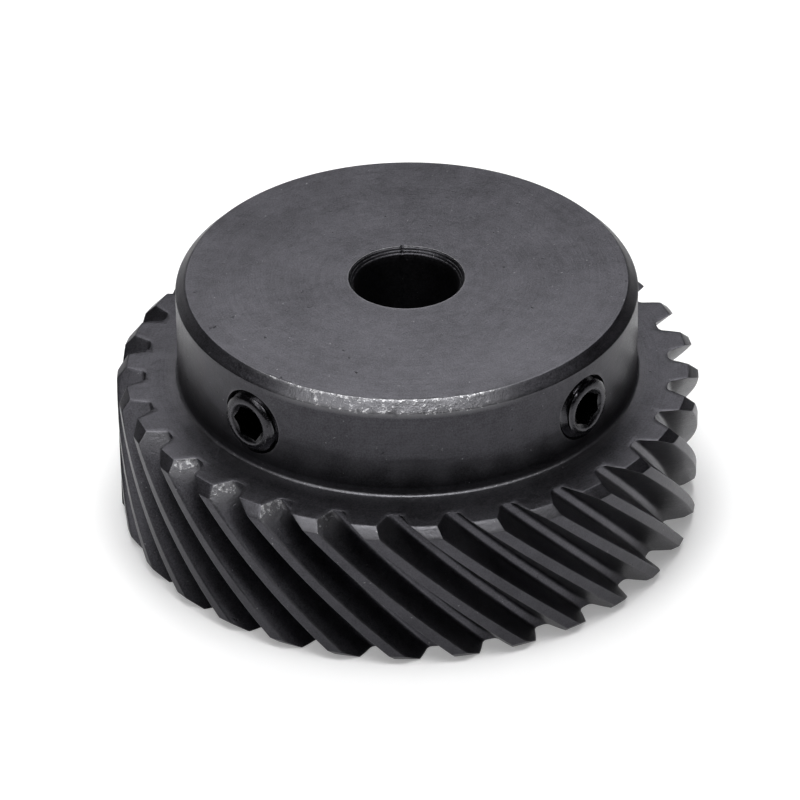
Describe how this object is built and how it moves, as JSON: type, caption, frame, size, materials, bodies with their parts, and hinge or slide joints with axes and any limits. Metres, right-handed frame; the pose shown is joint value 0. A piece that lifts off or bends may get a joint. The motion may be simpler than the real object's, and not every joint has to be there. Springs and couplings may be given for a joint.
{
  "type": "helical gear",
  "caption": "Left-hand 45 degree helical gear with a plain bore and a hub clamped to its shaft by radial socket set screws; it turns a mating gear on a crossed shaft.",
  "frame": {"origin": "centre of the bore, on the gear's back face, which is the bottom of the box", "axes": "+Z along the bore, from the toothed rim towards the hub; -Y is the side of set_screw_front and -X the side of set_screw_left"},
  "size_m": [0.0444, 0.0444, 0.02],
  "materials": {
    "gear_steel": "black-oxide carbon steel, finely turned and hobbed, satin, with bright wear on the tooth ends and the hub's chamfer",
    "screw_steel": "black-oxide alloy steel with a light film of oil, rolled thread, broached socket"
  },
  "bodies": {
    "gear_body": {"gear": "gear_steel"},
    "front_screw": {"set_screw_front": "screw_steel"},
    "left_screw": {"set_screw_left": "screw_steel"}
  },
  "joints": [
    {"name": "front_screw_travel", "type": "slide", "parent": "gear_body", "child": "front_screw", "axis": [0, -1, 0], "range_m": [-0.004, 0.0096]},
    {"name": "left_screw_travel", "type": "slide", "parent": "gear_body", "child": "left_screw", "axis": [-1, 0, 0], "range_m": [-0.004, 0.0096]}
  ]
}
